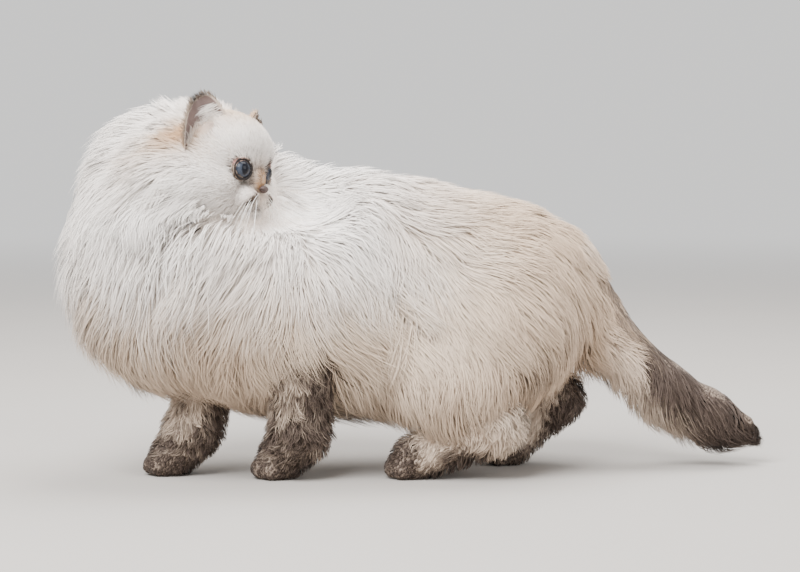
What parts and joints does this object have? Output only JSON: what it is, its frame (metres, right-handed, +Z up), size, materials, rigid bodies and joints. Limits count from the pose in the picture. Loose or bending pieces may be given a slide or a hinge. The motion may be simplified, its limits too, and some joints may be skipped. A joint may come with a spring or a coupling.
{
  "type": "persian cat",
  "caption": "Life-size long-haired Persian cat of blue-point colouring, standing side on with its head turned back over its flank.",
  "frame": {"origin": "the middle of the body's bounding box, at the level of the soles", "axes": "+X from the breast towards the tail, -Y out of the left flank, +Z up"},
  "size_m": [0.63, 0.2442, 0.3415],
  "materials": {
    "long_fur": "long soft cream fur",
    "face_fur": "short cream fur with long cheek fur",
    "leg_fur": "matted brown-grey fur",
    "dark_fur": "dark brown-grey fur",
    "ear": "thin skin with short fur",
    "eye": "wet, glossy blue",
    "nose_leather": "damp nose leather"
  },
  "bodies": {
    "root": {"barrel": "long_fur", "chest": "long_fur", "ear_left": "ear", "ear_right": "ear", "eye_left": "eye", "eye_right": "eye", "front_left_leg": "leg_fur", "front_left_paw": "dark_fur", "front_right_leg": "leg_fur", "front_right_paw": "dark_fur", "head": "face_fur", "hind_left_leg": "leg_fur", "hind_left_paw": "dark_fur", "hind_right_leg": "leg_fur", "hind_right_paw": "dark_fur", "hindquarters": "long_fur", "neck": "long_fur", "nose": "nose_leather", "tail_base": "long_fur", "tail_tip": "dark_fur"}
  },
  "joints": []
}
